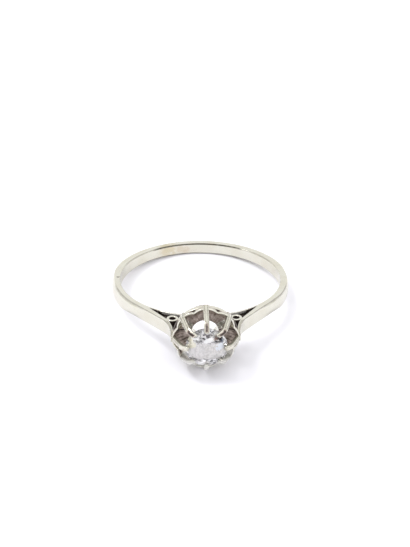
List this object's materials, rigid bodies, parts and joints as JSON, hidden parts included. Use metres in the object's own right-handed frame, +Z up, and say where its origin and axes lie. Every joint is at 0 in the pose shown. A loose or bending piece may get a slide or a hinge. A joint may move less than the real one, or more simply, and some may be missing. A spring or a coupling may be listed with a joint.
{
  "type": "solitaire ring",
  "caption": "Slim domed ring with shoulders rising beside a scalloped claw head that holds a round brilliant, lying on its side.",
  "frame": {"origin": "bottom centre of the whole ring, on the surface it lies on", "axes": "+Z up from the surface, +X across the finger hole, -Y towards the head, +Y towards the back of the shank; the finger axis leans from +Z towards +Y by about 8 degrees"},
  "size_m": [0.0192, 0.0245, 0.007],
  "materials": {
    "white_gold": "polished white gold, softly worn, dark in its recesses",
    "stone": "clear cut stone"
  },
  "bodies": {
    "root": {"ring_body": "white_gold", "diamond": "stone"}
  },
  "joints": []
}
